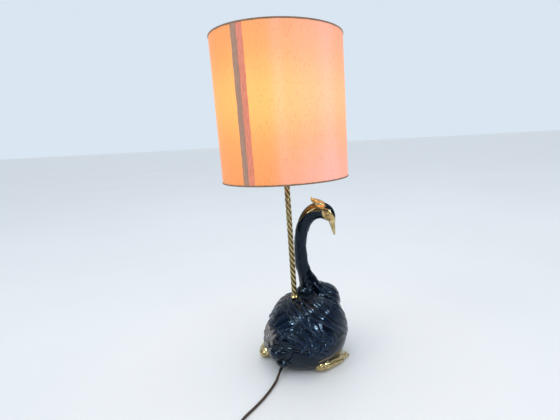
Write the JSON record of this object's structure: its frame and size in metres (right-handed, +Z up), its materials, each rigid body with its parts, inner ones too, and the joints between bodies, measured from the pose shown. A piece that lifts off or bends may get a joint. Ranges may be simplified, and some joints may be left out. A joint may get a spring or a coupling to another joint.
{
  "type": "table lamp",
  "caption": "Table lamp with a seated crested bird in dark glazed ceramic, a rope-twist brass stem and a tall cylinder shade of slubby silk.",
  "frame": {"origin": "on the stem's axis, in the plane that the lamp stands on", "axes": "+Z up along the stem, +X the way the beak points, +Y away from the side with the cord"},
  "size_m": [0.2998, 0.5244, 0.797],
  "materials": {
    "glaze": "very glossy dark navy glaze over relief plumage, gold overglaze on crest, mask, beak, nape and feet",
    "felt": "green felt",
    "steel": "zinc-plated steel",
    "brass": "polished brass, slightly toned",
    "brass_plain": "plain turned brass",
    "cable": "dark brown PVC sheath, satin",
    "relief": "dark brown moulded PVC",
    "bakelite": "dark brown moulded phenolic",
    "porcelain": "unglazed white steatite",
    "bulb_glass": "clear glass",
    "aluminium": "rolled aluminium cap",
    "black_glass": "black vitrite insulator",
    "solder": "solder",
    "tungsten": "glowing tungsten coil",
    "shade_silk": "peach slubby silk laminated on a translucent sheet",
    "shade_lining": "translucent styrene lining",
    "seam_tape": "brown woven ribbon",
    "rim_tape": "narrow brown binding",
    "white_wire": "white-coated steel wire",
    "switch_plastic": "brown moulded plastic",
    "rocker_plastic": "brown moulded plastic",
    "tie": "black plastic tie"
  },
  "bodies": {
    "base": {"bird_casting": "glaze", "base_felt": "felt", "clamp_plate": "steel", "clamp_washer": "steel", "clamp_nut": "steel", "strain_relief": "relief", "inner_lead": "cable", "threaded_tube": "steel", "lower_collar": "brass_plain", "rope_sleeve": "brass", "upper_collar": "brass_plain", "stem_nut": "brass_plain", "holder_cap": "bakelite", "holder_lock_screw": "steel", "holder_insert": "porcelain", "terminal_screws": "brass_plain", "centre_contact": "brass_plain", "side_contact": "brass_plain", "thread_shell": "brass_plain", "holder_shell": "bakelite", "shade_ring_lower": "bakelite", "switch_base": "switch_plastic", "switch_cover": "switch_plastic", "switch_screws": "steel", "switch_pin": "steel", "switch_contacts": "brass_plain", "cord_run": "cable", "cord_coil": "cable", "cord_link": "cable", "cord_end": "cable", "coil_tie": "tie", "plug_body": "relief", "plug_pins": "steel"},
    "shade": {"shade_fabric": "shade_silk", "shade_liner": "shade_lining", "top_binding": "rim_tape", "bottom_binding": "rim_tape", "seam_ribbon": "seam_tape", "top_wire_ring": "white_wire", "bottom_wire_ring": "white_wire", "fitter_ring": "white_wire", "fitter_spokes": "white_wire"},
    "bulb": {"bulb_tip": "solder", "bulb_insulator": "black_glass", "bulb_cap": "aluminium", "bulb_glass": "bulb_glass", "bulb_stem": "bulb_glass", "bulb_supports": "tungsten", "bulb_filament": "tungsten"},
    "shade_nut": {"shade_ring_upper": "bakelite"},
    "rocker": {"switch_rocker": "rocker_plastic"}
  },
  "joints": [
    {"name": "shade_turn", "type": "hinge", "parent": "base", "child": "shade", "pos_m": [0, 0, 0.58], "axis": [0, 0, 1], "continuous": true},
    {"name": "shade_nut_turn", "type": "hinge", "parent": "base", "child": "shade_nut", "pos_m": [0, 0, 0.58], "axis": [0, 0, 1], "continuous": true},
    {"name": "bulb_unscrew", "type": "slide", "parent": "base", "child": "bulb", "axis": [0, 0, 1], "range_m": [0, 0.024]},
    {"name": "switch_rock", "type": "hinge", "parent": "base", "child": "rocker", "pos_m": [-0.03, -0.2785, 0.0125], "axis": [0, 1, 0], "range_deg": [-20, 0]}
  ]
}
